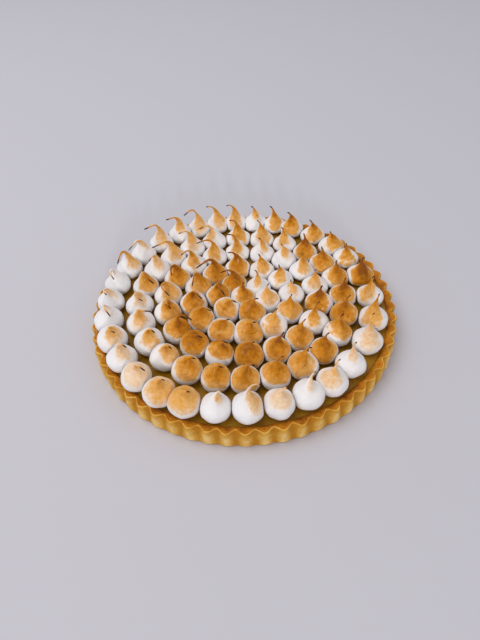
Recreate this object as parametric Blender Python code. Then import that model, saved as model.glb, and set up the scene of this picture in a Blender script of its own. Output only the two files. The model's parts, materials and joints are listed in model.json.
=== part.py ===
"""Lemon meringue tart: a fluted pastry case, a disc of lemon curd, and five rings of piped
meringue kisses round a single one. Metres, +Z up, origin at the centre of the case's flat base.

The kisses of a ring press into each other, so a ring is one solid. The rings stay apart.
"""

import math

import bmesh
import bpy
import numpy as np
from mathutils import Matrix

MM = 0.001

# Pastry case
FLUTES = 58
FLUTE_PHASE = math.radians(1.2)
LOBE_RADIUS = 132.5 * MM  # tips of the flutes, at the rim
FLUTE_DEPTH = 4.9 * MM
BASE_FLUTE_DEPTH = 2.4 * MM  # the flutes fade towards the base
POINTS_A_FLUTE = 4
CASE_HEIGHT = 17.0 * MM
WALL_FLARE = 1.5 * MM  # the base is this much narrower than the rim
WALL_THICKNESS = 3.1 * MM  # at a groove, its thinnest place
FLOOR_THICKNESS = 4.0 * MM
ROUND_SIDES = 58  # of the hollow and of the curd

# Lemon curd
CURD_TOP = 14.4 * MM
GAP = 0.3 * MM  # left between pieces that touch

# A meringue kiss is a flattened ball cut off at the foot, which tapers to a curled tip
BALL_RADIUS = 12.0 * MM
HALF_HEIGHT = 8.4 * MM  # of a whole ball
ROUND_SIDE, ROUNDER = math.radians(-110), 2.4 * MM  # balls on this side have more, and less opposite
MIDDLE_SHARE = 0.8  # height of a ball's middle over the foot, in half heights
STRAIGHT_LENGTH = 17.5 * MM  # a kiss as short as this would taper straight, and a longer one hollows
TAPER_SHARES = (0.42, 0.76)  # the places along the taper that get a ring of vertices
KISS_SIDES = 7
SIDE_TURN = 2 * math.pi / KISS_SIDES
CORNER_REACH = math.sqrt(SIDE_TURN / math.sin(SIDE_TURN))  # keeps the area of a circle
KISS_LEVELS = 3 + len(TAPER_SHARES)
SHORTEST_KISS = 20.0 * MM
LENGTH_SPREAD = 0.07  # share by which kisses differ in length
TALL_SIDE, TALL_SHARE = math.radians(140), 0.22  # kisses on this side are longer and curl more
LOW_SIDE, LOW_SHARE = math.radians(35), 0.18  # and on this side shorter
ODD_ONES = {  # by ring and place in it: share by which one is longer, and how far it stands out
    ("meringue_ring_1", 0): (1.34, -0.6 * MM),
    ("meringue_ring_1", 4): (1.0, -1.5 * MM),
    ("meringue_ring_1", 5): (1.15, -1.0 * MM),
    ("meringue_ring_1", 6): (1.25, -1.0 * MM),
    ("meringue_ring_1", 7): (0.98, -2.5 * MM),
    ("meringue_ring_1", 8): (1.0, -2.5 * MM),
    ("meringue_ring_1", 9): (0.84, -2.5 * MM),
    ("meringue_ring_1", 10): (0.80, -1.0 * MM),
    ("meringue_ring_1", 11): (0.84, 0.0),
    ("meringue_ring_1", 12): (0.88, 0.0),
    ("meringue_ring_1", 14): (0.88, 0.0),
    ("meringue_ring_1", 16): (0.94, 0.0),
    ("meringue_ring_1", 27): (1.0, 1.6 * MM),
    ("meringue_ring_1", 28): (1.0, 1.6 * MM),
    ("meringue_ring_1", 29): (1.0, 1.6 * MM),
}
EVEN = (1.0, 0.0)
SPACING = {  # the place of each of these kisses in its ring, if all were evenly spaced
    "meringue_ring_1": ((0, 4, 9, 12, 18, 31), (0, 4, 10, 13, 18, 31)),
}
PRESS = 1.06  # how far kisses in a ring press into each other
STRAY = 0.03  # share of the pitch by which a kiss strays along its ring
CURL_START = 0.42  # share of the length where the tip starts to bend over
CURL_LEAST, CURL_MOST = math.radians(32), math.radians(66)
PULL_SPREAD = math.radians(18)  # how far a tip's direction strays from along the ring
SEED = 11

# Name, radius, kisses, direction of the first in degrees, middle of the ring, length of a kiss
RINGS = (
    ("meringue_ring_1", 114.2 * MM, 31, -90.0, (-1.6 * MM, 1.4 * MM), 30.0 * MM),
    ("meringue_ring_2", 88.5 * MM, 24, -90.4, (-1.2 * MM, 1.0 * MM), 28.0 * MM),
    ("meringue_ring_3", 66.0 * MM, 18, -88.4, (0.0, 2.0 * MM), 27.0 * MM),
    ("meringue_ring_4", 42.8 * MM, 12, -86.0, (0.0, 2.0 * MM), 27.0 * MM),
    ("meringue_ring_5", 21.0 * MM, 6, -71.0, (0.0, 2.4 * MM), 26.0 * MM),
    ("meringue_centre", 0.0, 1, 0.0, (0.0, 3.4 * MM), 27.0 * MM),
)

PASTRY = (0.60, 0.33, 0.09)
CURD = (0.42, 0.27, 0.03)
MERINGUE = (0.90, 0.84, 0.74)


def clear_scene():
    for obj in list(bpy.data.objects):
        bpy.data.objects.remove(obj, do_unlink=True)


def new_collection(name, parent):
    made = bpy.data.collections.new(name)
    parent.children.link(made)
    return made


def principled(name, colour, roughness):
    material = bpy.data.materials.new(name)
    material.use_nodes = True
    shader = material.node_tree.nodes["Principled BSDF"]
    shader.inputs["Base Color"].default_value = (*colour, 1.0)
    shader.inputs["Roughness"].default_value = roughness
    shader.inputs["Metallic"].default_value = 0.0
    return material


def make_helper(obj):
    obj.hide_render = True
    obj.display_type = "WIRE"
    return obj


def cone(name, low_radius, high_radius, low, high, sides, collection):
    bpy.ops.mesh.primitive_cone_add(
        vertices=sides,
        radius1=low_radius,
        radius2=high_radius,
        depth=high - low,
        location=(0, 0, (low + high) / 2),
    )
    obj = bpy.context.object
    obj.name = name
    for old in list(obj.users_collection):
        old.objects.unlink(obj)
    collection.objects.link(obj)
    return obj


def fluted_radius(turn, lobe_radius, depth):
    """Round lobes that meet in grooves: the lobe radius less the depth times 1 - |cos|."""
    return lobe_radius - depth * (1 - abs(math.cos(FLUTES * turn / 2)))


def hollow_radius(height):
    """The inside of the case, which flares as its wall does."""
    rim = LOBE_RADIUS - FLUTE_DEPTH - WALL_THICKNESS
    return rim - WALL_FLARE * (1 - height / CASE_HEIGHT)


def make_crust(parts, helpers, material):
    """A round block whose sides are moved out to the flutes, less a hollow."""
    sides = FLUTES * POINTS_A_FLUTE
    crust = cone("crust", 1.0, 1.0, -CASE_HEIGHT / 2, CASE_HEIGHT / 2, sides, parts)
    crust.location.z = CASE_HEIGHT / 2
    for vertex in crust.data.vertices:
        turn = math.atan2(vertex.co.y, vertex.co.x)
        if vertex.co.z < 0:
            radius = fluted_radius(turn, LOBE_RADIUS - WALL_FLARE, BASE_FLUTE_DEPTH)
        else:
            radius = fluted_radius(turn, LOBE_RADIUS, FLUTE_DEPTH)
        vertex.co.x = radius * math.cos(turn + FLUTE_PHASE)
        vertex.co.y = radius * math.sin(turn + FLUTE_PHASE)
    above = CASE_HEIGHT + FLOOR_THICKNESS
    hollow = cone(
        "crust_hollow",
        hollow_radius(FLOOR_THICKNESS),
        hollow_radius(above),
        FLOOR_THICKNESS,
        above,
        ROUND_SIDES,
        helpers,
    )
    cut = crust.modifiers.new("Hollow", "BOOLEAN")
    cut.operation = "DIFFERENCE"
    cut.object = make_helper(hollow)
    crust.data.materials.append(material)


def make_curd(parts, material):
    low = FLOOR_THICKNESS + GAP
    curd = cone(
        "lemon_curd",
        hollow_radius(low) - GAP,
        hollow_radius(CURD_TOP) - GAP,
        low,
        CURD_TOP,
        ROUND_SIDES,
        parts,
    )
    curd.data.materials.append(material)


def kiss_centres(name, radius, count, first, middle, rng):
    """Directions out from a ring's middle, spaced with a small stray, and the centres there."""
    place = np.arange(count) + rng.uniform(-STRAY, STRAY, count)
    place = np.interp(place, *SPACING.get(name, ((-1, count), (-1, count))))
    out = math.radians(first) + 2 * math.pi / count * place
    away = radius + np.array([ODD_ONES.get((name, k), EVEN)[1] for k in range(count)])
    return out, away[:, None] * np.column_stack([np.cos(out), np.sin(out)]) + middle


def length_factor(out):
    """Longer towards one side of the tart and shorter towards another, by a cosine of the angle off."""
    longer = TALL_SHARE * np.maximum(0, np.cos(out - TALL_SIDE))
    shorter = LOW_SHARE * np.maximum(0, np.cos(out - LOW_SIDE))
    return 1 + longer - shorter


def widths_along(centres, others):
    """Half of the wider gap to the two neighbours in the ring, and a little more, so that they press.
    A kiss that stands alone reaches half of the way to the others."""
    if len(centres) == 1:
        return (np.linalg.norm(others - centres, axis=1).min(keepdims=True) - GAP) / 2 / CORNER_REACH
    gaps = np.linalg.norm(np.roll(centres, -1, axis=0) - centres, axis=1)
    return np.maximum(gaps, np.roll(gaps, 1)) / 2 * PRESS


def ball_width(half_heights):
    """Half width of a ball so many half heights over its middle, as a share of its radius."""
    return math.sqrt(1 - half_heights**2)


def widths_across(centres, out, along, others):
    """As wide as a ball where the other rings and the rim of the case leave room.

    On its side towards each kiss of another ring, the furthest of its corners stays within half of
    the way there, less half of the gap.
    """
    way = others[None] - centres[:, None]
    room = (np.linalg.norm(way, axis=2) - GAP) / 2 / CORNER_REACH
    off = (np.arctan2(way[..., 1], way[..., 0]) - out[:, None])[..., None]
    corner = (np.arange(KISS_SIDES) + 0.5) * SIDE_TURN
    spent = along[:, None, None] * np.sin(corner) * np.sin(off)
    facing = np.cos(corner) * np.cos(off)
    limits = np.where(facing > 0.3, (room[..., None] - spent) / np.maximum(facing, 0.3), np.inf)
    to_rim = hollow_radius(CASE_HEIGHT) - 2 * GAP - np.linalg.norm(centres, axis=1)
    up = (CASE_HEIGHT - CURD_TOP - GAP) / (MIDDLE_SHARE * (HALF_HEIGHT - ROUNDER))
    foot = ball_width(-MIDDLE_SHARE)
    rim_limit = to_rim / (foot + up * (1 - foot))
    return np.minimum(BALL_RADIUS, np.minimum(limits.min(axis=(1, 2)), rim_limit))


def kiss_layout():
    """The kisses of each ring, as dicts of the values that shape_kiss() takes."""
    rng = np.random.default_rng(SEED)
    places = {ring[0]: kiss_centres(*ring[:5], rng) for ring in RINGS}
    rings = {}
    for name, *_, length in RINGS:
        out, centres = places[name]
        others = np.vstack([places[other][1] for other in places if other != name])
        along = widths_along(centres, others)
        across = widths_across(centres, out, along, others)
        tallness = length_factor(out)
        lengths = length * tallness * (1 + LENGTH_SPREAD * rng.uniform(-1, 1, len(out)))
        curls = rng.uniform(CURL_LEAST, CURL_MOST, len(out)) * tallness**4
        pulls = out + math.pi / 2 + rng.normal(0, PULL_SPREAD, len(out))
        rings[name] = [
            {
                "centre": centres[k],
                "out": out[k],
                "along": along[k],
                "across": across[k],
                "half": HALF_HEIGHT + ROUNDER * math.cos(out[k] - ROUND_SIDE),
                "length": max(SHORTEST_KISS, lengths[k] * ODD_ONES.get((name, k), EVEN)[0]),
                "curl": curls[k],
                "pull": pulls[k],
            }
            for k in range(len(out))
        ]
    return rings


def stacked_cone():
    """A cone cut across at each whole height, which has a kiss's faces before they are shaped."""
    bm = bmesh.new()
    bmesh.ops.create_cone(
        bm,
        cap_ends=True,
        segments=KISS_SIDES,
        radius1=1,
        radius2=0,
        depth=KISS_LEVELS,
        matrix=Matrix.Translation((0, 0, KISS_LEVELS / 2)),
    )
    for level in range(1, KISS_LEVELS):
        everything = bm.verts[:] + bm.edges[:] + bm.faces[:]
        bmesh.ops.bisect_plane(bm, geom=everything, plane_co=(0, 0, level), plane_no=(0, 0, 1))
    mesh = bpy.data.meshes.new("kiss")
    bm.to_mesh(mesh)
    bm.free()
    return mesh


def kiss_outline(length, half):
    """Heights along a kiss's middle line and half widths there, as shares of the ball's radius.

    The ball gives way to a taper of power p without a crease where the sine s of the height angle
    solves (p - 1) b s**2 + d s - p b = 0, with b half the ball's height and d the tip's distance
    from its middle.
    """
    power = length / STRAIGHT_LENGTH
    middle = MIDDLE_SHARE * half
    reach = length - middle
    root = math.sqrt(reach**2 + 4 * (power - 1) * power * half**2)
    sine = (root - reach) / (2 * (power - 1) * half)
    start = middle + half * sine
    shoulder = ball_width(sine)
    heights = [0.0, middle, start]
    widths = [ball_width(-MIDDLE_SHARE), 1.0, shoulder]
    for share in (*TAPER_SHARES, 1.0):
        heights.append(start + share * (length - start))
        widths.append(shoulder * (1 - share) ** power)
    return np.array(heights), np.array(widths)


def middle_line(length, curl, heights):
    """How far sideways and up the middle line is at each height along it, and its tilt there. The
    tilt grows with the square of the way from the curl's start to the tip."""
    steps = np.linspace(0, length, 201)
    past = np.clip((steps / length - CURL_START) / (1 - CURL_START), 0, 1)
    tilt = curl * past**2
    middles = (tilt[1:] + tilt[:-1]) / 2
    side = np.concatenate([[0], np.cumsum(np.sin(middles))]) * steps[1]
    up = np.concatenate([[0], np.cumsum(np.cos(middles))]) * steps[1]
    return np.interp(heights, steps, side), np.interp(heights, steps, up), np.interp(heights, steps, tilt)


def shape_kiss(mesh, kiss):
    """Sets each level of the stacked cone to its outline, wider or narrower along the ring than
    across it, and carries it to its place on the curled middle line, square to it."""
    points = np.empty((len(mesh.vertices), 3))
    mesh.vertices.foreach_get("co", points.ravel())
    level = np.round(points[:, 2]).astype(int)
    turn = math.pi / KISS_SIDES - np.arctan2(points[:, 0], points[:, 1])
    heights, widths = kiss_outline(kiss["length"], kiss["half"])
    corner = widths[level] * CORNER_REACH
    across = corner * kiss["across"] * np.cos(turn)
    along = corner * kiss["along"] * np.sin(turn)
    outwards = np.array([math.cos(kiss["out"]), math.sin(kiss["out"])])
    round_the_ring = np.array([-outwards[1], outwards[0]])
    flat = across[:, None] * outwards + along[:, None] * round_the_ring
    side, up, tilt = middle_line(kiss["length"], kiss["curl"], heights[level])
    pull = np.array([math.cos(kiss["pull"]), math.sin(kiss["pull"])])
    ahead = flat @ pull
    points[:, :2] = kiss["centre"] + flat + (side + ahead * (np.cos(tilt) - 1))[:, None] * pull
    points[:, 2] = CURD_TOP + GAP + up - ahead * np.sin(tilt)
    mesh.vertices.foreach_set("co", points.ravel())
    mesh.update()


def make_ring(name, kisses, cage, parts, helpers, material):
    """Shapes a ring's kisses, and joins them where they press into each other."""
    others = new_collection(name + "_kisses", helpers)
    for k, kiss in enumerate(kisses):
        mesh = cage.copy()
        shape_kiss(mesh, kiss)
        obj = bpy.data.objects.new(name if k == 0 else f"{name}_kiss_{k}", mesh)
        if k == 0:
            whole = obj
            parts.objects.link(obj)
            mesh.materials.append(material)
        else:
            others.objects.link(make_helper(obj))
    if len(kisses) > 1:
        join = whole.modifiers.new("Join", "BOOLEAN")
        join.operation = "UNION"
        join.operand_type = "COLLECTION"
        join.collection = others


def main():
    clear_scene()
    everything = bpy.context.scene.collection
    parts = new_collection("lemon_meringue_tart", everything)
    helpers = new_collection("helpers", everything)
    make_crust(parts, helpers, principled("pastry", PASTRY, 0.75))
    make_curd(parts, principled("curd", CURD, 0.25))
    meringue = principled("meringue", MERINGUE, 0.55)
    cage = stacked_cone()
    for name, kisses in kiss_layout().items():
        make_ring(name, kisses, cage, parts, helpers, meringue)


main()
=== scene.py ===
"""Dresses the lemon meringue tart: baked pastry, set lemon curd and torched meringue kisses.

Every surface is worked out with numpy on a grid of rings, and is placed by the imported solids.
"""

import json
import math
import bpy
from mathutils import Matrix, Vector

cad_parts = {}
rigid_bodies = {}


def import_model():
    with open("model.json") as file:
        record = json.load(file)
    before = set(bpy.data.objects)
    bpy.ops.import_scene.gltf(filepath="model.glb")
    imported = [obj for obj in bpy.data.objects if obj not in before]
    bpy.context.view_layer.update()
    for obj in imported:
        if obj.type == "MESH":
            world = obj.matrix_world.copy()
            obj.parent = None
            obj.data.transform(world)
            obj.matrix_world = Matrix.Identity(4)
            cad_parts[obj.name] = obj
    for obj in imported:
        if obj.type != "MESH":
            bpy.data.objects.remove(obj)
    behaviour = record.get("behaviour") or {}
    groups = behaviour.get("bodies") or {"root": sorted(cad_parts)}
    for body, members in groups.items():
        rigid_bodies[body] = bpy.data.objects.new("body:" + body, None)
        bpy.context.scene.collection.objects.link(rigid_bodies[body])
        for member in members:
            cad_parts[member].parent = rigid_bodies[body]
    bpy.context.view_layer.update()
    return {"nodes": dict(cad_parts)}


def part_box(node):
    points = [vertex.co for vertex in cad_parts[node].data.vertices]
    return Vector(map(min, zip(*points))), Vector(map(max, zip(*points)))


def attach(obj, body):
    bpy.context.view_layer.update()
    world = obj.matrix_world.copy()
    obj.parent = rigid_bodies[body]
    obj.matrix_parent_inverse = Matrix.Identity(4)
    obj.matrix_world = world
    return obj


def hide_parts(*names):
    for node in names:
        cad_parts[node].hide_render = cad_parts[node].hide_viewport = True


bl_info = {
    "name": "Lemon meringue tart",
    "version": (1, 0, 0),
    "blender": (4, 5, 0),
    "location": "3D View > Sidebar > Tart",
    "description": "Bakes the pastry, sets the curd and torches the meringue of a fluted tart",
    "category": "Add Mesh",
}

import bpy
import numpy as np
from bpy.props import FloatProperty, FloatVectorProperty, IntProperty, PointerProperty
from mathutils import Matrix, Vector

for left_over in list(bpy.data.objects):
    bpy.data.objects.remove(left_over, do_unlink=True)
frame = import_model()

MM = 0.001
CASE_LOW, CASE_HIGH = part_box("crust")
CURD_LOW, CURD_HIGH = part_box("lemon_curd")
RINGS = sorted(name for name in frame["nodes"] if name.startswith("meringue"))

# The torch browns each ring by its own share: the mean, how far it swings, and towards which side
TORCHED = {
    "meringue_ring_1": (0.50, 0.20, math.radians(20)),
    "meringue_ring_2": (0.66, 0.18, math.radians(-15)),
    "meringue_ring_3": (0.66, 0.14, math.radians(-95)),
    "meringue_ring_4": (0.66, 0.14, math.radians(190)),
    "meringue_ring_5": (0.64, 0.10, math.radians(170)),
    "meringue_centre": (0.62, 0.0, 0.0),
}
CONE_HEIGHT = 15 * MM  # over this height the kisses of a ring stand apart
FIRST_KISS = math.radians(-96)  # kisses of a ring are counted round from here
ODD_ONES = {  # by ring and place in it: how much of a kiss is browned, and how dark
    ("meringue_ring_1", 30): (0.10, 0.45),
    ("meringue_ring_1", 0): (0.36, 0.42),
    ("meringue_ring_1", 1): (0.34, 0.30),
    ("meringue_ring_1", 2): (0.12, 0.30),
    ("meringue_ring_1", 3): (0.45, 0.34),
    ("meringue_ring_1", 4): (0.22, 0.36),
    ("meringue_ring_1", 5): (0.50, 0.34),
    ("meringue_ring_1", 24): (0.12, 0.30),
    ("meringue_ring_1", 27): (0.60, 0.24),
    ("meringue_ring_1", 28): (0.80, 0.38),
    ("meringue_ring_1", 29): (0.78, 0.40),
}


def colour(name, description, default):
    return FloatVectorProperty(
        name=name, description=description, default=default, subtype="COLOR", size=3, min=0, max=1
    )


def length(name, description, default):
    return FloatProperty(name=name, description=description, default=default, unit="LENGTH", precision=5)


def share(name, description, default):
    return FloatProperty(name=name, description=description, default=default, subtype="FACTOR")


def angle(name, description, default):
    return FloatProperty(name=name, description=description, default=default, subtype="ANGLE")


class PastrySettings(bpy.types.PropertyGroup):
    flutes: IntProperty(name="Flutes", description="Lobes round the case", default=58, min=8)
    phase: angle("Phase", "Turn of the first lobe", math.radians(1.2))
    depth: length("Flute depth", "From the tip of a lobe to its groove, at the rim", 4.3 * MM)
    base_depth: length("Base flute depth", "The same at the base", 0.8 * MM)
    droop: length("Droop", "How far a lobe hangs at the tip", 0.4 * MM)
    flare: length("Flare", "How much narrower the base is than the rim", 0.5 * MM)
    inset: length("Inset", "How far the lobes stay inside the frame, and the curd inside its disc", 0.8 * MM)
    bead: length("Bead", "Height of the thin lip along the edge", 0.4 * MM)
    floor: length("Floor", "Thickness under the curd", 4.0 * MM)
    slope: length("Slope", "How far the rim falls towards the curd", 2.0 * MM)
    # Crests take the palest colour and grooves darker ones as painted shade between the lobes; the pale lip is
    # partly a painted highlight
    cream: colour("Cream", "Palest crests", (0.84, 0.56, 0.20))
    straw: colour("Straw", "Sides", (0.68, 0.36, 0.06))
    golden: colour("Golden", "Grooves and lip", (0.50, 0.22, 0.015))
    orange: colour("Orange brown", "Top of the rim", (0.50, 0.17, 0.003))
    brown: colour("Brown", "Darkest bake", (0.20, 0.05, 0.001))


class CurdSettings(bpy.types.PropertyGroup):
    meniscus: length("Meniscus", "Rise against the pastry", 0.5 * MM)
    inset: length("Inset", "How far the edge stays inside the frame", 0.8 * MM)
    light: colour("Light", "Thin and lit curd", (0.36, 0.175, 0.003))
    deep: colour("Deep", "Deep curd", (0.20, 0.085, 0.002))


class MeringueSettings(bpy.types.PropertyGroup):
    ball: length("Ball radius", "Half width of a kiss", 12.2 * MM)
    half_height: length("Half height", "Half the height of a whole ball", 8.5 * MM)
    rounder: length("Rounder", "How much taller balls are on the round side", 2.4 * MM)
    round_side: angle("Round side", "Where the tallest balls stand", math.radians(-110))
    straight: length("Straight length", "A kiss as short as this would taper straight", 17.0 * MM)
    curl_start: share("Curl start", "Share of the length where the tip starts to bend over", 0.42)
    thread: length("Thread", "Half thickness of the burnt end", 0.55 * MM)
    thread_length: length("Thread length", "How far the end reaches past the taper", 2.5 * MM)
    long_thread: length("Long thread", "How much farther it reaches on the left", 6.0 * MM)
    torch: FloatVectorProperty(
        name="Torch",
        description="Where the flame was held longest",
        default=(0.04, -0.2, 0.15),
        subtype="TRANSLATION",
        size=3,
    )
    white: colour("White", "Raw meringue", (0.84, 0.81, 0.80))
    cream: colour("Cream", "First tint of heat", (0.84, 0.62, 0.42))
    tan: colour("Tan", "Light toast", (0.76, 0.38, 0.09))
    brown: colour("Brown", "Full toast", (0.56, 0.20, 0.002))
    dark: colour("Dark", "Deep toast", (0.27, 0.072, 0.0))
    burnt: colour("Burnt", "Charred ends", (0.03, 0.012, 0.008))


class StageSettings(bpy.types.PropertyGroup):
    floor: colour("Floor", "Pale lavender grey table", (0.56, 0.537, 0.566))
    sky: colour("Sky", "Soft light of the room", (0.82, 0.84, 0.90))
    sky_strength: FloatProperty(name="Sky strength", description="Brightness of the room", default=0.68)
    key_power: FloatProperty(name="Key", description="Large soft light above", default=22.0, unit="POWER")
    window_power: FloatProperty(name="Window", description="Low light in front", default=16.0, unit="POWER")
    camera_place: FloatVectorProperty(
        name="Camera",
        description="Where the camera stands",
        default=(-0.00454, -0.3310, 0.3464),
        subtype="TRANSLATION",
        size=3,
    )
    elevation: angle("Elevation", "Height angle of the view", 0.827043)
    pan: angle("Pan", "Turn of the view to the side", -0.0022863)
    tilt: angle("Tilt", "Turn of the view upwards", 0.0146826)
    roll: angle("Roll", "Turn of the view about its line", 0.0554821)
    lens: FloatProperty(name="Lens", description="Focal length in mm", default=29.925)


# Surfaces


def smooth_step(low, high, value):
    """0 below low, 1 above high, and 3 t^2 - 2 t^3 of the share t of the way between."""
    t = np.clip((value - low) / (high - low), 0, 1)
    return t * t * (3 - 2 * t)


def waves(points, shortest, longest, count, rng):
    """Uneven relief between about -1 and 1: the sum of plane sine waves of random direction, phase
    and wavelength, over the root of their number."""
    total = np.zeros(points.shape[:-1])
    for _ in range(count):
        direction = rng.normal(size=3)
        direction *= 2 * math.pi / (np.linalg.norm(direction) * rng.uniform(shortest, longest))
        total += np.sin(points @ direction + rng.uniform(0, 2 * math.pi))
    return total / math.sqrt(count)


def ring_faces(rows, columns):
    """Quads between closed rings of points and triangles to a pole before the first ring and one
    after the last. Rings run anticlockwise, and the rows go up the outside, so faces look out."""
    here = np.arange(columns)
    after = np.roll(here, -1)
    low = 1 + np.arange(rows - 1)[:, None] * columns
    high = low + columns
    quads = np.stack([low + here, low + after, high + after, high + here], axis=-1).reshape(-1, 4)
    last = 1 + (rows - 1) * columns
    first_fan = np.stack([np.zeros(columns, int), 1 + after, 1 + here], axis=-1)
    last_fan = np.stack([last + here, last + after, np.full(columns, last + columns)], axis=-1)
    return quads, np.vstack([first_fan, last_fan])


def outward(grid):
    """Unit normals of a grid of rings: the way round crossed with the way up."""
    round_about = np.roll(grid, -1, axis=-2) - np.roll(grid, 1, axis=-2)
    upwards = np.gradient(grid, axis=-3)
    normal = np.cross(round_about, upwards)
    return normal / np.maximum(np.linalg.norm(normal, axis=-1, keepdims=True), 1e-12)


def make_piece(name, points, quads, triangles, values, finish):
    mesh = bpy.data.meshes.new(name)
    mesh.from_pydata(points.tolist(), [], quads.tolist() + triangles.tolist())
    mesh.shade_smooth()
    for value_name, value in values.items():
        layer = mesh.attributes.new(value_name, "FLOAT", "POINT")
        layer.data.foreach_set("value", value.astype(np.float32).ravel())
    mesh.materials.append(finish)
    piece = bpy.data.objects.new(name, mesh)
    bpy.context.scene.collection.objects.link(piece)
    return piece


# Pastry case


def case_section(settings):
    """The section of the case from the middle of its base, out, up the wall, over the rim and down
    inside to the middle of its floor. For each ring of points: how far out it lies between the inside
    of the wall and the fluted outside, how far in from there to the axis, its height, and how much it
    is rim and lip."""
    height = CASE_HIGH.z
    rows = []
    for t in np.linspace(0.02, 1, 6):
        rows.append((1.0, t * 0.985, 0.0, 0, 0))
    for turn in np.linspace(0, math.pi / 2, 4)[1:]:
        rows.append((1.0, 0.985 + 0.015 * math.sin(turn), 1.2 * MM * (1 - math.cos(turn)), 0, 0))
    for t in np.linspace(0, 1, 15)[1:]:
        rows.append((1.0, 1.0, 1.2 * MM + t * (height - 2.1 * MM), 0, t**8))
    for turn in np.linspace(0, math.pi / 2, 6)[1:]:
        inwards = 0.9 * MM * (1 - math.cos(turn)) / (7 * MM)
        up = height - 0.9 * MM * (1 - math.sin(turn)) + settings.bead * math.sin(turn) ** 2
        rows.append((1.0 - inwards, 1.0, up, math.sin(turn) ** 6, 1))
    for t in np.linspace(0, 1, 20)[1:]:
        fall = settings.slope * (0.35 * t + 0.65 * t**2.2)
        lift = settings.bead * max(0, 1 - t * 9)
        rows.append(((1 - 0.13) * (1 - t), 1.0, height - fall + lift, 1, max(0, 1 - t * 14)))
    inner = height - settings.slope
    for t in np.linspace(0, 1, 6)[1:]:
        rows.append((0.0, 1.0, inner + t * (settings.floor - inner), 1, 0))
    for t in np.linspace(1, 0.02, 6)[1:]:
        rows.append((0.0, t, settings.floor, 1, 0))
    return np.array(rows)


def flute_share(turn, settings):
    """0 in a groove and 1 on the crest of a lobe: a raised cosine, to a power that widens the lobe."""
    return (0.5 + 0.5 * np.cos(settings.flutes * (turn - settings.phase))) ** 0.8


def make_case(settings):
    """Carries the section round the axis, with the outside moved in and out by the flutes."""
    rng = np.random.default_rng(3)
    columns = settings.flutes * 14
    turn = np.linspace(0, 2 * math.pi, columns, endpoint=False)
    section = case_section(settings)
    wall, inwards, height, rim, lip = (section[:, k][:, None] for k in range(5))
    crest = flute_share(turn, settings)[None]
    lobe_radius = (CASE_HIGH.x - CASE_LOW.x) / 2 - settings.inset
    lobe_of = np.floor((turn - settings.phase) * settings.flutes / (2 * math.pi) + 0.5).astype(int)
    lobe_size = rng.uniform(-0.35, 0.35, settings.flutes)[lobe_of % settings.flutes] * MM
    rise = height / CASE_HIGH.z
    depth = settings.base_depth + (settings.depth - settings.base_depth) * rise
    outside = lobe_radius - depth * (1 - crest) + lobe_size * crest
    inside = (CURD_HIGH.x - CURD_LOW.x) / 2 + 0.35 * MM - settings.inset
    flare = settings.flare * (1 - height / CASE_HIGH.z)
    radius = ((inside + (outside - inside) * wall) - flare) * inwards
    way = np.stack([np.cos(turn), np.sin(turn), np.zeros(columns)], axis=-1)
    grid = radius[..., None] * way[None]
    grid[..., 2] = height - settings.droop * crest * wall**2 * rise**4
    normal = outward(grid)
    shown = smooth_step(0.9, 1.0, inwards) * smooth_step(0.0, 2 * MM, height)
    uneven = 0.30 * MM * waves(grid, 14 * MM, 40 * MM, 8, rng) * (rim + lip).clip(0, 1) * wall
    crumb = 0.16 * MM * waves(grid, 1.8 * MM, 4.5 * MM, 26, rng)
    crumb += 0.14 * MM * waves(grid, 5 * MM, 11 * MM, 12, rng)
    grid += normal * (crumb * shown)[..., None]
    grid[..., 2] += uneven * shown
    patch = waves(grid, 12 * MM, 45 * MM, 10, rng)
    # Painted shade: the grooves are darker than the crests, and the wall darkens towards the top, partly its bake
    # and partly painted shade under the lip
    side = 0.52 - 0.46 * crest**0.8 + 0.26 * rise**4
    # Painted shade: the top of the rim darkens towards its inner edge, where it falls to the curd
    top = 0.72 + 0.20 * (1 - wall) ** 2
    bake_and_painted_light = side + (top - side) * rim
    # The lip along the edge is paler: partly a paler rubbed edge, partly a painted highlight along it
    bake_and_painted_light = bake_and_painted_light + (0.24 - bake_and_painted_light) * lip * np.where(rim < 1, rim**0.3, 1) * rise**6
    bake_and_painted_light = bake_and_painted_light + 0.05 * patch
    quads, triangles = ring_faces(len(section), columns)
    points = np.vstack([[0, 0, 0], grid.reshape(-1, 3), [0, 0, settings.floor]])
    ends = np.zeros(1)
    values = {"baked": np.concatenate([ends + 0.5, bake_and_painted_light.ravel(), ends + 0.5])}
    return points, quads, triangles, values


# Curd


def make_curd_disc(settings):
    """Rings out along the underside, up the wall and back in over the top, whose height follows slow
    waves and climbs the pastry with the fifth power of the way out."""
    rng = np.random.default_rng(5)
    columns = 360
    turn = np.linspace(0, 2 * math.pi, columns, endpoint=False)
    edge = (CURD_HIGH.x - CURD_LOW.x) / 2 + 0.15 * MM - settings.inset
    base_edge = edge - 1.1 * MM
    under = np.linspace(0.05, 1, 4)
    over = 1 - np.linspace(0, 1, 70)[:-1] ** 1.5
    radius = np.concatenate([under * base_edge, over * edge])
    top = np.concatenate([np.zeros(len(under)), np.ones(len(over))])
    grid = radius[:, None, None] * np.stack([np.cos(turn), np.sin(turn), np.zeros(columns)], axis=-1)[None]
    share_out = radius / edge
    height = CURD_LOW.z + (CURD_HIGH.z - CURD_LOW.z) * top
    grid[..., 2] = height[:, None]
    waving = 0.13 * MM * waves(grid, 12 * MM, 40 * MM, 14, rng)
    climb = settings.meniscus * share_out[:, None] ** 60
    grid[..., 2] += (waving + climb) * top[:, None]
    quads, triangles = ring_faces(len(radius), columns)
    points = np.vstack([[0, 0, CURD_LOW.z], grid.reshape(-1, 3), [0, 0, CURD_HIGH.z]])
    return points, quads, triangles


# Kisses


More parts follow.
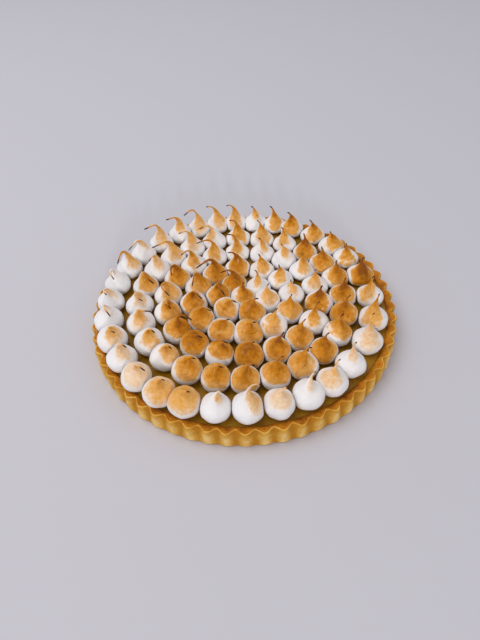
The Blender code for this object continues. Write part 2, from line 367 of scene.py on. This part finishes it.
def merged(node):
    """The corners of a node's mesh, each once, and its triangles by corner number."""
    mesh = frame["nodes"][node].data
    points = np.empty((len(mesh.vertices), 3), np.float32)
    mesh.vertices.foreach_get("co", points.ravel())
    corners = np.empty(len(mesh.loops), np.int32)
    mesh.loops.foreach_get("vertex_index", corners)
    grain = 0.01 * MM
    _, first, number = np.unique(
        np.round(points / grain).astype(int), axis=0, return_index=True, return_inverse=True
    )
    return points[first].astype(float), number.reshape(-1)[corners].reshape(-1, 3)


def connected_parts(triangles):
    """Lists of the triangles that hang together: each corner takes the lowest number among its
    triangles, over and over."""
    labels = np.arange(triangles.max() + 1)
    before = None
    while before is None or (labels != before).any():
        before = labels.copy()
        np.minimum.at(labels, triangles.ravel(), np.repeat(labels[triangles].min(axis=1), 3))
    owner = labels[triangles[:, 0]]
    return [triangles[owner == label] for label in np.unique(owner)]


def curl_and_length(lean, rise, curl_start):
    """What curl and length bring a tip as far aside and up as it is in the frame. Both grow with the
    length alike, so their ratio gives the curl."""
    curls = np.linspace(0, math.radians(160), 161)
    past = np.clip((np.linspace(0, 1, 201) - curl_start) / (1 - curl_start), 0, 1)
    tilt = curls[:, None] * past**2
    side = np.sin(tilt).mean(axis=1)
    up = np.cos(tilt).mean(axis=1)
    curl = np.interp(np.arctan2(lean, rise), np.arctan2(side, up), curls)
    return curl, np.hypot(lean, rise) / np.interp(curl, curls, np.hypot(side, up))


def kisses_in(node, settings):
    """Each kiss of a ring in the frame, counted round from the front: where it stands, and how long,
    curled and turned it is. A kiss shows there as one foot and as one cone above the ball."""
    points, triangles = merged(node)
    foot = points[:, 2].min()
    heights = points[triangles, 2]
    feet = connected_parts(triangles[(heights < foot + 0.1 * MM).all(axis=1)])
    cones = connected_parts(triangles[(heights > foot + CONE_HEIGHT).all(axis=1)])
    centres = np.array([points[np.unique(part)].mean(axis=0) for part in feet])
    middle = centres.mean(axis=0)
    rows = []
    for part in cones:
        corners, uses = np.unique(part, return_counts=True)
        tip = points[corners[uses.argmax()]]
        lowest = points[corners[np.argsort(points[corners, 2])[:7]]].mean(axis=0)
        centre = centres[np.linalg.norm(centres[:, :2] - lowest[:2], axis=1).argmin()]
        lean = tip[:2] - centre[:2]
        curl, tall = curl_and_length(np.linalg.norm(lean), tip[2] - foot, settings.curl_start)
        out = math.atan2(centre[1] - middle[1], centre[0] - middle[0])
        rows.append((centre[0], centre[1], foot, tall, curl, math.atan2(lean[1], lean[0]), out))
    if len(rows) != len(feet):
        raise RuntimeError(f"{node} has {len(feet)} feet and {len(rows)} tips")
    return np.array(sorted(rows, key=lambda row: (row[6] - FIRST_KISS) % (2 * math.pi)))


MIDDLE_SHARE = 0.8  # height of a ball's middle over the foot, in half heights
BALL_ROWS = 18
TAPER_ROWS = 26
KISS_COLUMNS = 56
# Where round the tart a kiss stands, and which way the end of its tip then points, in degrees
HOOK_TURNS = ((-180, -135, -90, 0, 45, 90, 135, 160, 180), (-40, -20, 5, 35, 120, 180, 190, 290, 320))


def kiss_outline(tall, total, ball, half, taper, settings):
    """Heights along the middle line and half widths there. A flattened ball gives way to a taper of
    power p without a crease where the sine s of the height angle solves (p - 1) b s^2 + d s - p b = 0,
    with b half the ball's height and d the tip's distance from its middle. The taper runs out in a
    thread that thins to its end."""
    bend = taper - 1
    middle = MIDDLE_SHARE * half
    reach = tall - middle
    sine = (np.sqrt(reach**2 + 4 * bend * taper * half**2) - reach) / (2 * bend * half)
    lowest = -math.asin(MIDDLE_SHARE)
    turn = lowest + (np.arcsin(sine) - lowest)[:, None] * np.linspace(0, 1, BALL_ROWS)
    start = middle + half * sine
    steps = np.linspace(0, 1, TAPER_ROWS + 2)[1:-1]
    along = start[:, None] + (total - start)[:, None] * steps
    shoulder = (ball * np.sqrt(1 - sine**2))[:, None]
    way = np.clip((along - start[:, None]) / (tall - start)[:, None], 0, 1)
    cone = shoulder * (1 - way) ** taper[:, None]
    end = np.clip((along - total[:, None]) / (1.5 * MM) + 1, 0, 1)
    late = smooth_step(0.6, 1.0, along / total[:, None])
    thread = settings.thread * (1.7 - 0.8 * late) * np.sqrt(1 - end**2)
    heights = np.hstack([middle[:, None] + half[:, None] * np.sin(turn), along])
    widths = np.hstack([ball[:, None] * np.cos(turn), (cone**3 + thread**3) ** (1 / 3)])
    return heights, widths


def middle_line(heights, tall, curl, pull, hook, settings):
    """Places along a kiss's middle line, and its tilt and direction there. The tilt grows with the
    square of the way from the curl's start to the tip, where the line swings over to its hook."""
    past = np.clip((heights / tall[:, None] - settings.curl_start) / (1 - settings.curl_start), 0, 1)
    tilt = curl[:, None] * past**2
    aside = np.sin(tilt)[..., None] * np.stack([np.cos(pull), np.sin(pull)], axis=-1)[:, None]
    tangent = np.concatenate([aside, np.cos(tilt)[..., None]], axis=-1)
    late = smooth_step(0.84 * tall, tall + 3 * MM, heights.T).T[..., None]
    tangent += (hook[:, None] - tangent) * late
    tangent /= np.linalg.norm(tangent, axis=-1, keepdims=True)
    tilt = np.arccos(np.clip(tangent[..., 2], -1, 1))
    direction = np.arctan2(tangent[..., 1], tangent[..., 0])
    step = np.diff(heights, axis=1)[..., None] * (tangent[:, 1:] + tangent[:, :-1]) / 2
    start = tangent[:, :1] * heights[:, :1, None]
    return np.concatenate([start, start + np.cumsum(step, axis=1)], axis=1), tilt, direction


def pressed(widths, turn, centres, everyone):
    """Half widths of the balls where they stay on their own side of the plane half way to each
    neighbour: the reciprocal of the sum of the reciprocals, all to a high power, rounds the edges."""
    way = everyone[None, :, :2] - centres[:, None, :2]
    distance = np.linalg.norm(way, axis=2)
    nearest = np.argsort(distance, axis=1)[:, 1:9]
    away = np.take_along_axis(distance, nearest, axis=1)
    bearing = np.take_along_axis(np.arctan2(way[..., 1], way[..., 0]), nearest, axis=1)
    facing = np.cos(turn[None, None] - bearing[..., None])
    limit = (away / 2 - 0.08 * MM)[..., None] / np.maximum(facing, 0.05)
    power = 14
    crowd = (limit**-power).sum(axis=1)[:, None]
    return (widths[..., None] ** -power + crowd) ** (-1 / power)


def make_kisses(node, settings):
    """All the kisses of a ring: rings of points round a curled middle line, square to it, with lumps
    and folds. The values with them tell the finish where the torch reached, how dark it made the
    meringue, and what is burnt."""
    rng = np.random.default_rng(100 + RINGS.index(node))
    everyone = np.vstack([KISSES[name] for name in RINGS])
    kisses = KISSES[node]
    count = len(kisses)
    centres, foot = kisses[:, :2], kisses[:, 2]
    tall, curl, pull, out = kisses[:, 3:7].T
    ball = settings.ball * rng.uniform(0.95, 1.04, count)
    half = settings.half_height + settings.rounder * np.cos(out - settings.round_side)
    half *= rng.uniform(0.94, 1.06, count)
    taper = np.maximum(1.05, tall / settings.straight + rng.uniform(-0.10, 0.15, count))
    far_left = smooth_step(0.0, 0.9, np.cos(out - math.radians(165)))
    thread_length = settings.thread_length + settings.long_thread * far_left
    thread_length *= rng.uniform(0.4, 1.4, count)
    total = tall + thread_length
    bearing = np.interp(out, *np.radians(HOOK_TURNS)) + rng.normal(0, 0.3, count)
    drop = np.interp(np.cos(out), (-0.5, 0.5), (-0.45, 0.2)) + rng.normal(0, 0.15, count)
    hook = np.stack([np.cos(bearing), np.sin(bearing), drop], axis=-1)
    heights, widths = kiss_outline(tall, total, ball, half, taper, settings)
    turn = np.linspace(0, 2 * math.pi, KISS_COLUMNS, endpoint=False)
    along = np.hstack([np.zeros((count, 1)), heights, total[:, None]])
    line, tilt, direction = middle_line(along, tall, curl, pull, hook, settings)

    necked = smooth_step(0.5, 0.8, heights / tall[:, None])[..., None]
    oval = 1 + necked * 0.16 * np.cos(2 * (turn[None, None] - rng.uniform(0, 7, count)[:, None, None]))
    oval += necked * 0.07 * np.cos(3 * (turn[None, None] - rng.uniform(0, 7, count)[:, None, None]))
    radius = np.broadcast_to(widths[..., None], (*widths.shape, KISS_COLUMNS)) * oval
    radius = np.concatenate(
        [pressed(widths[:, :BALL_ROWS], turn, centres, everyone), radius[:, BALL_ROWS:]], axis=1
    )
    flat = radius[..., None] * np.stack([np.cos(turn), np.sin(turn)], axis=-1)
    towards = np.stack([np.cos(direction), np.sin(direction)], axis=-1)[:, 1:-1, None]
    bent = tilt[:, 1:-1, None]
    ahead = (flat * towards).sum(axis=-1)
    grid = np.empty((*radius.shape, 3))
    grid[..., :2] = flat + (ahead * (np.cos(bent) - 1))[..., None] * towards
    grid[..., 2] = -ahead * np.sin(bent)
    grid += line[:, 1:-1, None]
    base = np.column_stack([centres, foot - 0.35 * MM])
    grid += base[:, None, None]

    normal = outward(grid)
    up_share = (heights / tall[:, None])[..., None]
    body = smooth_step(0.0, 0.15, up_share) * (1 - smooth_step(0.75, 1.0, up_share))
    lumps = 0.26 * MM * waves(grid, 11 * MM, 26 * MM, 10, rng)
    lumps += 0.10 * MM * waves(grid, 3.5 * MM, 7 * MM, 12, rng)
    grid += normal * (lumps * body)[..., None]
    normal = outward(grid)

    # Heat: how squarely the surface meets the flame, more near the tip, less near the foot
    cover, brown = torching(node, out, rng)
    aim = np.array(settings.torch) - base - [0, 0, 12 * MM]
    aim /= np.linalg.norm(aim, axis=1, keepdims=True)
    aim += rng.normal(0, 0.28, (count, 3))
    aim /= np.linalg.norm(aim, axis=1, keepdims=True)
    square_on = (normal * aim[:, None, None]).sum(axis=-1)
    over_foot = grid[..., 2] - foot[:, None, None]
    closeness = clearance(grid, centres, everyone)
    heat = 0.50 * square_on + 0.50 * smooth_step(3 * MM, 24 * MM, over_foot)
    heat += 0.30 * smooth_step(0.55, 1.0, up_share)
    heat += (0.90 * cover - 0.60)[:, None, None]
    heat -= 0.60 * (1 - smooth_step(1.0 * MM, 7.0 * MM, over_foot))
    heat -= 0.20 * (1 - smooth_step(0.0, 3.5 * MM, closeness)) * (1 - smooth_step(9 * MM, 14 * MM, over_foot))
    burn_length = (1.5 * MM + 5 * MM * brown * rng.uniform(0.4, 1.2, count) + 1.1 * thread_length)[:, None]
    burnt = smooth_step(0, 1, (heights - total[:, None] + burn_length) / (0.9 * burn_length))
    burnt = np.broadcast_to(burnt[..., None], heat.shape)
    wrinkles = 0.22 * MM * waves(grid, 1.3 * MM, 2.6 * MM, 24, rng)
    grid += normal * (wrinkles * smooth_step(0.02, 0.5, burnt) * (1 - smooth_step(0.9, 1.1, up_share)))[..., None]
    brown = np.broadcast_to(brown[:, None, None], heat.shape)

    quads, triangles = ring_faces(BALL_ROWS + TAPER_ROWS, KISS_COLUMNS)
    tips = base[:, None] + line[:, -1:]
    points = np.concatenate([base[:, None], grid.reshape(count, -1, 3), tips], axis=1)
    offset = (np.arange(count) * points.shape[1])[:, None, None]

    def with_ends(value, low, high):
        ends = np.ones((count, 1))
        return np.hstack([ends * low, value.reshape(count, -1), ends * high])

    values = {
        "torched": with_ends(heat, -1.0, 1.0),
        "brown": np.broadcast_to(brown[:, 0, :1], (count, points.shape[1])),
        "burnt": with_ends(burnt, 0.0, 1.0),
    }
    return (
        points.reshape(-1, 3),
        (quads + offset).reshape(-1, 4),
        (triangles + offset).reshape(-1, 3),
        values,
    )


def torching(node, out, rng):
    """How much of each kiss is browned and how dark, as shares."""
    mean, swing, side = TORCHED[node]
    cover = mean + swing * np.cos(out - side) + rng.normal(0, 0.09, len(out))
    brown = 0.28 + 0.52 * cover + rng.normal(0, 0.06, len(out))
    for k in range(len(out)):
        cover[k], brown[k] = ODD_ONES.get((node, k), (cover[k], brown[k]))
    return cover, brown


def clearance(grid, centres, everyone):
    """How far each point is from the nearest plane half way to a neighbour, sideways."""
    way = everyone[None, :, :2] - centres[:, None, :2]
    distance = np.linalg.norm(way, axis=2)
    nearest = np.argsort(distance, axis=1)[:, 1:9]
    away = np.take_along_axis(distance, nearest, axis=1)
    unit = np.take_along_axis(way, nearest[..., None], axis=1) / away[..., None]
    offset = grid[..., :2] - centres[:, None, None]
    reach = np.einsum("krcx,knx->krcn", offset, unit)
    return (away[:, None, None] / 2 - reach).min(axis=-1)


# Finishes


def add(tree, kind, inputs=(), **settings):
    """A new node, with its settings and the constants or sockets that its inputs take."""
    node = tree.nodes.new(kind)
    for key, value in settings.items():
        setattr(node, key, value)
    for key, value in dict(inputs).items():
        if isinstance(value, bpy.types.NodeSocket):
            tree.links.new(value, node.inputs[key])
        else:
            node.inputs[key].default_value = value
    return node


def maths(tree, operation, first, second=0.0, third=0.0):
    inputs = {0: first, 1: second}
    if operation == "MULTIPLY_ADD":
        inputs[2] = third
    return add(tree, "ShaderNodeMath", inputs, operation=operation).outputs[0]


def ramp(tree, value, low, high, to_low=0.0, to_high=1.0):
    """Smooth step of a value from one range to another."""
    inputs = {"Value": value, "From Min": low, "From Max": high, "To Min": to_low, "To Max": to_high}
    return add(tree, "ShaderNodeMapRange", inputs, interpolation_type="SMOOTHSTEP").outputs["Result"]


def blend(tree, factor, first, second):
    inputs = {"Factor": factor, "A": first, "B": second}
    node = tree.nodes.new("ShaderNodeMix")
    node.data_type = "RGBA"
    sockets = {"Factor": node.inputs[0], "A": node.inputs[6], "B": node.inputs[7]}
    for key, value in inputs.items():
        if isinstance(value, bpy.types.NodeSocket):
            tree.links.new(value, sockets[key])
        else:
            sockets[key].default_value = value
    return node.outputs[2]


def noise(tree, vector, size, detail=3.0, roughness=0.5):
    """Soft noise about 0.5, with features of about the given size in metres."""
    inputs = {"Vector": vector, "Scale": 1 / size, "Detail": detail, "Roughness": roughness}
    return add(tree, "ShaderNodeTexNoise", inputs).outputs["Fac"]


def new_group(name, inputs, outputs):
    """An empty node group with named inputs, as name to kind and default, and outputs."""
    group = bpy.data.node_groups.new(name, "ShaderNodeTree")
    for socket_name, (kind, default) in inputs.items():
        socket = group.interface.new_socket(socket_name, in_out="INPUT", socket_type=kind)
        socket.default_value = default
    for socket_name, kind in outputs.items():
        group.interface.new_socket(socket_name, in_out="OUTPUT", socket_type=kind)
    return group, group.nodes.new("NodeGroupInput"), group.nodes.new("NodeGroupOutput")


def build_browning():
    """Colour by heat: five colours that follow each other as the heat goes from 0 to 1."""
    names = ("Raw", "Tinted", "Golden", "Brown", "Dark")
    inputs = {"Heat": ("NodeSocketFloat", 0.0)}
    inputs.update({name: ("NodeSocketColor", (1, 1, 1, 1)) for name in names})
    group, given, result = new_group("Browning", inputs, {"Color": "NodeSocketColor"})
    mixed = given.outputs["Raw"]
    edges = ((0.0, 0.25), (0.2, 0.5), (0.45, 0.75), (0.7, 1.0))
    for name, (low, high) in zip(names[1:], edges):
        factor = ramp(group, given.outputs["Heat"], low, high)
        mixed = blend(group, factor, mixed, given.outputs[name])
    group.links.new(mixed, result.inputs["Color"])
    return group


def build_mottle():
    """Uneven colour: coarse and fine noise, as a value about 0 that swings by Strength."""
    inputs = {
        "Vector": ("NodeSocketVector", (0, 0, 0)),
        "Coarse": ("NodeSocketFloat", 100.0),
        "Fine": ("NodeSocketFloat", 500.0),
        "Strength": ("NodeSocketFloat", 1.0),
    }
    group, given, result = new_group("Mottle", inputs, {"Value": "NodeSocketFloat"})
    parts = []
    for name in ("Coarse", "Fine"):
        texture = add(group, "ShaderNodeTexNoise", {"Vector": given.outputs["Vector"], "Detail": 3.0})
        group.links.new(given.outputs[name], texture.inputs["Scale"])
        parts.append(maths(group, "SUBTRACT", texture.outputs["Fac"], 0.5))
    both = maths(group, "MULTIPLY_ADD", parts[1], 0.6, parts[0])
    group.links.new(maths(group, "MULTIPLY", both, given.outputs["Strength"]), result.inputs["Value"])
    return group


def build_pores():
    """Scattered round specks: 1 inside a speck. Presence is the share of cells that have one."""
    inputs = {
        "Vector": ("NodeSocketVector", (0, 0, 0)),
        "Cells": ("NodeSocketFloat", 200.0),
        "Radius": ("NodeSocketFloat", 0.15),
        "Presence": ("NodeSocketFloat", 0.3),
    }
    group, given, result = new_group("Pores", inputs, {"Mask": "NodeSocketFloat"})
    cells = add(group, "ShaderNodeTexVoronoi", {"Vector": given.outputs["Vector"]})
    group.links.new(given.outputs["Cells"], cells.inputs["Scale"])
    parted = add(group, "ShaderNodeSeparateColor", {"Color": cells.outputs["Color"]})
    present = maths(group, "LESS_THAN", parted.outputs["Red"], given.outputs["Presence"])
    inner = maths(group, "MULTIPLY", given.outputs["Radius"], 0.5)
    sized = add(group, "ShaderNodeMapRange", {"Value": cells.outputs["Distance"], "To Min": 1.0, "To Max": 0.0})
    group.links.new(inner, sized.inputs["From Min"])
    group.links.new(given.outputs["Radius"], sized.inputs["From Max"])
    mask = maths(group, "MULTIPLY", present, sized.outputs["Result"])
    group.links.new(mask, result.inputs["Mask"])
    return group


def placed(tree, group, inputs):
    node = tree.nodes.new("ShaderNodeGroup")
    node.node_tree = group
    for key, value in inputs.items():
        if isinstance(value, bpy.types.NodeSocket):
            tree.links.new(value, node.inputs[key])
        else:
            node.inputs[key].default_value = value
    return node.outputs[0]


def opaque(colour_setting):
    return (*colour_setting, 1.0)


def new_finish(name):
    material = bpy.data.materials.new(name)
    material.use_nodes = True
    tree = material.node_tree
    shader = tree.nodes["Principled BSDF"]
    where = add(tree, "ShaderNodeTexCoord").outputs["Object"]
    return material, tree, shader, where


def value_of(tree, name):
    return add(tree, "ShaderNodeAttribute", attribute_name=name).outputs["Fac"]


def raise_bump(tree, shader, height, distance, strength=1.0):
    bump = add(tree, "ShaderNodeBump", {"Height": height, "Distance": distance, "Strength": strength})
    tree.links.new(bump.outputs["Normal"], shader.inputs["Normal"])


def pastry_finish(settings, groups):
    material, tree, shader, where = new_finish("baked_pastry")
    mottle = placed(tree, groups["Mottle"], {"Vector": where, "Coarse": 160.0, "Fine": 900.0, "Strength": 0.42})
    # The bake value also carries painted shade in the grooves, under the lip and towards the inner edge of the
    # rim, and a painted highlight along the lip
    heat = maths(tree, "ADD", value_of(tree, "baked"), mottle)
    specks = placed(tree, groups["Pores"], {"Vector": where, "Cells": 330.0, "Radius": 0.28, "Presence": 0.16})
    heat = maths(tree, "MULTIPLY_ADD", specks, 0.22, heat)
    colours = {
        "Heat": heat,
        "Raw": opaque(settings.cream),
        "Tinted": opaque(settings.straw),
        "Golden": opaque(settings.golden),
        "Brown": opaque(settings.orange),
        "Dark": opaque(settings.brown),
    }
    tree.links.new(placed(tree, groups["Browning"], colours), shader.inputs["Base Color"])
    tree.links.new(ramp(tree, heat, 0.2, 0.9, 0.72, 0.5), shader.inputs["Roughness"])
    shader.inputs["Specular IOR Level"].default_value = 0.15
    crumb = maths(tree, "MULTIPLY_ADD", noise(tree, where, 0.5 * MM), 0.5, noise(tree, where, 1.6 * MM))
    raise_bump(tree, shader, crumb, 0.45 * MM)
    return material


def curd_finish(settings, groups):
    material, tree, shader, where = new_finish("lemon_curd")
    mottle = placed(tree, groups["Mottle"], {"Vector": where, "Coarse": 60.0, "Fine": 400.0, "Strength": 1.6})
    factor = maths(tree, "ADD", mottle, 0.5)
    mixed = blend(tree, factor, opaque(settings.deep), opaque(settings.light))
    tree.links.new(mixed, shader.inputs["Base Color"])
    tree.links.new(ramp(tree, factor, 0.0, 1.0, 0.34, 0.24), shader.inputs["Roughness"])
    shader.inputs["Specular IOR Level"].default_value = 0.25
    shader.inputs["Coat Weight"].default_value = 0.1
    shader.inputs["Coat Roughness"].default_value = 0.2
    raise_bump(tree, shader, noise(tree, where, 3 * MM), 0.25 * MM)
    return material


def meringue_finish(settings, groups):
    material, tree, shader, where = new_finish("torched_meringue")
    edge = placed(tree, groups["Mottle"], {"Vector": where, "Coarse": 190.0, "Fine": 700.0, "Strength": 0.30})
    heat = maths(tree, "ADD", value_of(tree, "torched"), edge)
    burnt = value_of(tree, "burnt")
    patch = ramp(tree, heat, 0.34, 0.54)
    depth = ramp(tree, heat, 0.38, 1.25, 0.60, 1.25)
    toast = maths(tree, "MULTIPLY", maths(tree, "MULTIPLY", patch, value_of(tree, "brown")), depth)
    mottle = placed(tree, groups["Mottle"], {"Vector": where, "Coarse": 330.0, "Fine": 1500.0, "Strength": 0.42})
    toast = maths(tree, "MULTIPLY_ADD", mottle, patch, toast)
    toast = maths(tree, "MULTIPLY_ADD", ramp(tree, heat, -0.1, 0.4), 0.06, toast)
    toast = maths(tree, "MAXIMUM", toast, maths(tree, "MULTIPLY", burnt, 0.92))
    holes = placed(tree, groups["Pores"], {"Vector": where, "Cells": 210.0, "Radius": 0.13, "Presence": 0.14})
    toast = maths(tree, "MULTIPLY_ADD", holes, maths(tree, "MULTIPLY", patch, 0.35), toast)
    colours = {
        "Heat": toast,
        "Raw": opaque(settings.white),
        "Tinted": opaque(settings.cream),
        "Golden": opaque(settings.tan),
        "Brown": opaque(settings.brown),
        "Dark": opaque(settings.dark),
    }
    toasted = placed(tree, groups["Browning"], colours)
    charred = ramp(tree, burnt, 0.55, 0.95)
    tree.links.new(blend(tree, charred, toasted, opaque(settings.burnt)), shader.inputs["Base Color"])
    tree.links.new(ramp(tree, toast, 0.1, 0.7, 0.5, 0.36), shader.inputs["Roughness"])
    tree.links.new(ramp(tree, toast, 0.2, 0.7, 0.1, 0.2), shader.inputs["Coat Weight"])
    shader.inputs["Coat Roughness"].default_value = 0.09
    shader.inputs["Specular IOR Level"].default_value = 0.1
    shader.inputs["Subsurface Weight"].default_value = 0.08
    shader.inputs["Subsurface Radius"].default_value = (1.0, 0.7, 0.5)
    shader.inputs["Subsurface Scale"].default_value = 2.5 * MM
    grain = maths(tree, "MULTIPLY_ADD", noise(tree, where, 0.7 * MM), patch, noise(tree, where, 2.5 * MM))
    grain = maths(tree, "MULTIPLY_ADD", holes, -1.5, grain)
    raise_bump(tree, shader, grain, 0.22 * MM)
    return material


def floor_finish(settings, groups):
    material, tree, shader, where = new_finish("pale_table")
    mottle = placed(tree, groups["Mottle"], {"Vector": where, "Coarse": 6.0, "Fine": 40.0, "Strength": 0.12})
    factor = maths(tree, "ADD", mottle, 0.5)
    darker = tuple(0.96 * part for part in settings.floor)
    tree.links.new(blend(tree, factor, opaque(darker), opaque(settings.floor)), shader.inputs["Base Color"])
    shader.inputs["Roughness"].default_value = 0.55
    shader.inputs["Specular IOR Level"].default_value = 0.05
    return material


# Operators


def stands_for(piece, node):
    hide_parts(node)
    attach(piece, "root")


class TART_OT_make_case(bpy.types.Operator):
    """Makes the fluted pastry case"""

    bl_idname = "tart.make_case"
    bl_label = "Pastry case"

    def execute(self, context):
        settings = context.scene.tart_pastry
        finish = pastry_finish(settings, GROUPS)
        stands_for(make_piece("pastry_case", *make_case(settings), finish), "crust")
        return {"FINISHED"}


class TART_OT_make_curd(bpy.types.Operator):
    """Makes the disc of lemon curd"""

    bl_idname = "tart.make_curd"
    bl_label = "Lemon curd"

    def execute(self, context):
        settings = context.scene.tart_curd
        finish = curd_finish(settings, GROUPS)
        stands_for(make_piece("curd_disc", *make_curd_disc(settings), {}, finish), "lemon_curd")
        return {"FINISHED"}


class TART_OT_make_kisses(bpy.types.Operator):
    """Makes the piped and torched kisses of every ring"""

    bl_idname = "tart.make_kisses"
    bl_label = "Meringue kisses"

    def execute(self, context):
        settings = context.scene.tart_meringue
        KISSES.update({node: kisses_in(node, settings) for node in RINGS})
        finish = meringue_finish(settings, GROUPS)
        for node in RINGS:
            name = node.replace("meringue", "kisses")
            stands_for(make_piece(name, *make_kisses(node, settings), finish), node)
        return {"FINISHED"}


class TART_OT_make_stage(bpy.types.Operator):
    """Makes the table, the lights and the camera"""

    bl_idname = "tart.make_stage"
    bl_label = "Stage"

    def execute(self, context):
        settings = context.scene.tart_stage
        make_table(settings, GROUPS)
        make_light("key", (-0.9, 0.1, 1.9), 1.6, 1.6, settings.key_power)
        make_light("window", (0.1, -2.6, 0.84), 0.16, 0.34, settings.window_power)
        world = bpy.data.worlds.new("room")
        context.scene.world = world
        world.use_nodes = True
        sky = world.node_tree.nodes["Background"]
        sky.inputs["Color"].default_value = opaque(settings.sky)
        sky.inputs["Strength"].default_value = settings.sky_strength
        context.scene.camera = make_camera(settings)
        context.scene.view_settings.view_transform = "Standard"
        return {"FINISHED"}


def make_table(settings, groups):
    half = 2.0
    corners = [(-half, -half, 0), (half, -half, 0), (half, half, 0), (-half, half, 0)]
    mesh = bpy.data.meshes.new("table")
    mesh.from_pydata(corners, [], [(0, 1, 2, 3)])
    mesh.materials.append(floor_finish(settings, groups))
    table = bpy.data.objects.new("table", mesh)
    bpy.context.scene.collection.objects.link(table)


def make_light(name, place, width, height, power):
    """A rectangle of light that faces the tart."""
    data = bpy.data.lights.new(name, "AREA")
    data.shape = "RECTANGLE"
    data.size, data.size_y = width, height
    data.energy = power
    light = bpy.data.objects.new(name, data)
    light.location = place
    light.rotation_euler = (-Vector(place)).to_track_quat("-Z", "Y").to_euler()
    bpy.context.scene.collection.objects.link(light)


def make_camera(settings):
    """Looks at the tart from in front and above, turned a little by pan, tilt and roll in turn."""
    ahead = Vector((0, math.cos(settings.elevation), -math.sin(settings.elevation)))
    right = Vector((1, 0, 0))
    up = right.cross(ahead)
    pan = Matrix.Rotation(settings.pan, 3, up)
    ahead, right = pan @ ahead, pan @ right
    tilt = Matrix.Rotation(settings.tilt, 3, right)
    ahead, up = tilt @ ahead, tilt @ up
    roll = Matrix.Rotation(settings.roll, 3, ahead)
    right, up = roll @ right, roll @ up
    data = bpy.data.cameras.new("camera")
    data.lens = settings.lens
    camera = bpy.data.objects.new("camera", data)
    turned = Matrix((right, up, -ahead)).transposed().to_4x4()
    camera.matrix_world = Matrix.Translation(settings.camera_place) @ turned
    bpy.context.scene.collection.objects.link(camera)
    return camera


class VIEW3D_PT_tart(bpy.types.Panel):
    bl_label = "Lemon meringue tart"
    bl_idname = "VIEW3D_PT_tart"
    bl_space_type = "VIEW_3D"
    bl_region_type = "UI"
    bl_category = "Tart"

    def draw(self, context):
        for operator, group in STEPS:
            box = self.layout.box()
            box.operator(operator.bl_idname)
            settings = getattr(context.scene, group)
            for name in settings.bl_rna.properties.keys():
                if name not in ("rna_type", "name"):
                    box.prop(settings, name)


SETTINGS = {
    "tart_pastry": PastrySettings,
    "tart_curd": CurdSettings,
    "tart_meringue": MeringueSettings,
    "tart_stage": StageSettings,
}
STEPS = (
    (TART_OT_make_case, "tart_pastry"),
    (TART_OT_make_curd, "tart_curd"),
    (TART_OT_make_kisses, "tart_meringue"),
    (TART_OT_make_stage, "tart_stage"),
)
GROUPS = {}
KISSES = {}


def register():
    for name, settings in SETTINGS.items():
        bpy.utils.register_class(settings)
        setattr(bpy.types.Scene, name, PointerProperty(type=settings))
    for operator, _ in STEPS:
        bpy.utils.register_class(operator)
    bpy.utils.register_class(VIEW3D_PT_tart)


def unregister():
    bpy.utils.unregister_class(VIEW3D_PT_tart)
    for operator, _ in STEPS:
        bpy.utils.unregister_class(operator)
    for name, settings in SETTINGS.items():
        delattr(bpy.types.Scene, name)
        bpy.utils.unregister_class(settings)


def main():
    register()
    GROUPS.update({"Browning": build_browning(), "Mottle": build_mottle(), "Pores": build_pores()})
    bpy.ops.tart.make_case()
    bpy.ops.tart.make_curd()
    bpy.ops.tart.make_kisses()
    bpy.ops.tart.make_stage()


if __name__ == "__main__":
    main()
